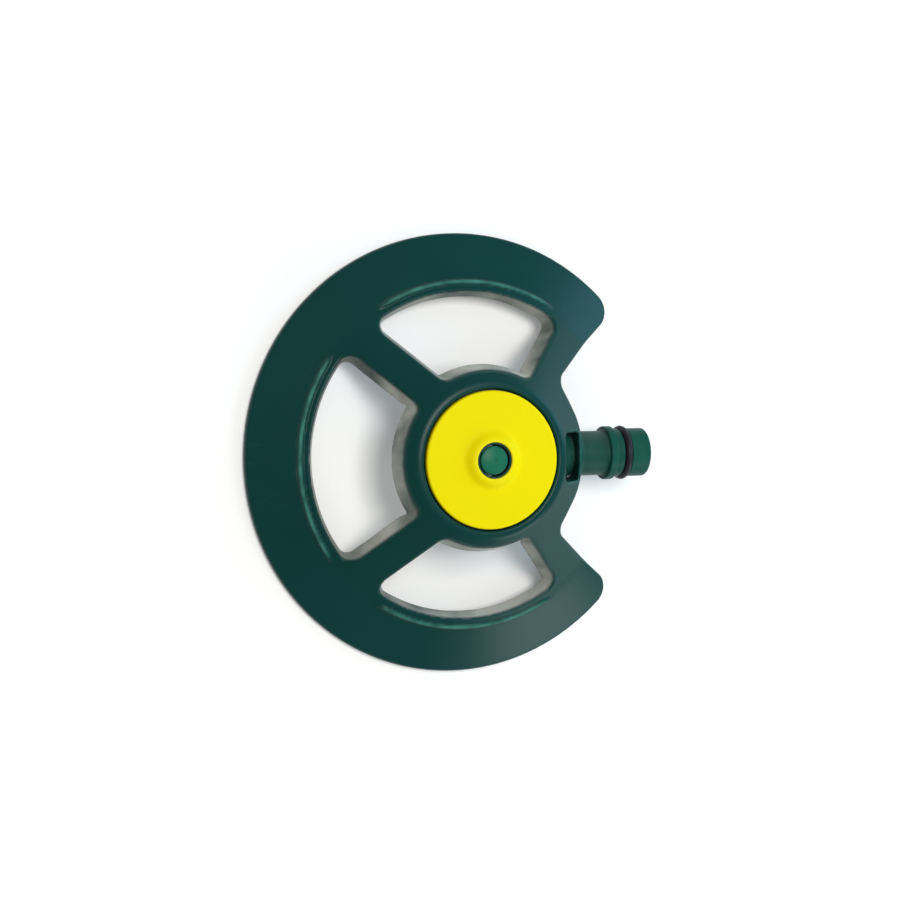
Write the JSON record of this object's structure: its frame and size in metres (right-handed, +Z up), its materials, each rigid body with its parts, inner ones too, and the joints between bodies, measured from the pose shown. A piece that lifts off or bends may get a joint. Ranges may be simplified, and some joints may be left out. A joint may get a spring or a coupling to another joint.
{
  "type": "pyramid sprinkler",
  "caption": "Lawn sprinkler with a cone-shaped wheel base, snap-in hose spigot and a turnable spray dial round an annular nozzle.",
  "frame": {"origin": "middle of the wheel, on the ground plane under the axis of the dial", "axes": "+Z up along the axis of the dial, +X along the hose spigot towards the hose"},
  "size_m": [0.1284, 0.14, 0.0366],
  "materials": {
    "base_green": "glossy dark green moulded plastic",
    "spigot_green": "glossy green moulded plastic",
    "pin_green": "satin green moulded plastic",
    "dial_yellow": "satin yellow moulded plastic",
    "orifice_dark": "dark moulded plastic",
    "tower_plastic": "dark grey moulded plastic",
    "filter_plastic": "natural white moulded plastic",
    "seal_rubber": "black rubber",
    "spring_steel": "stainless spring steel",
    "screw_steel": "zinc-plated steel"
  },
  "bodies": {
    "base": {"base_shell": "base_green", "hose_spigot": "spigot_green", "spigot_o_ring": "seal_rubber", "inlet_filter": "filter_plastic", "socket_seal": "seal_rubber", "spigot_clip": "spring_steel", "water_tower": "tower_plastic", "tower_screws": "screw_steel", "bottom_plug": "tower_plastic", "plug_seal": "seal_rubber", "flow_guide": "filter_plastic", "dial_seal": "seal_rubber", "slip_washer": "filter_plastic"},
    "dial": {"spray_dial": "dial_yellow", "orifice_ring": "orifice_dark", "lift_nut": "filter_plastic", "nut_screws": "screw_steel", "retaining_ring": "spring_steel"},
    "pin": {"nozzle_pin": "pin_green", "pin_clip": "spring_steel"}
  },
  "joints": [
    {"name": "dial_turn", "type": "hinge", "parent": "base", "child": "dial", "pos_m": [0, 0, 0.032], "axis": [0, 0, 1], "range_deg": [0, 270]},
    {"name": "pin_rise", "type": "slide", "parent": "base", "child": "pin", "axis": [0, 0, 1], "range_m": [0, 0.0016]}
  ],
  "couplings": [
    {"joint": "pin_rise", "follows": "dial_turn", "m_per_rad": 0.00033953}
  ]
}
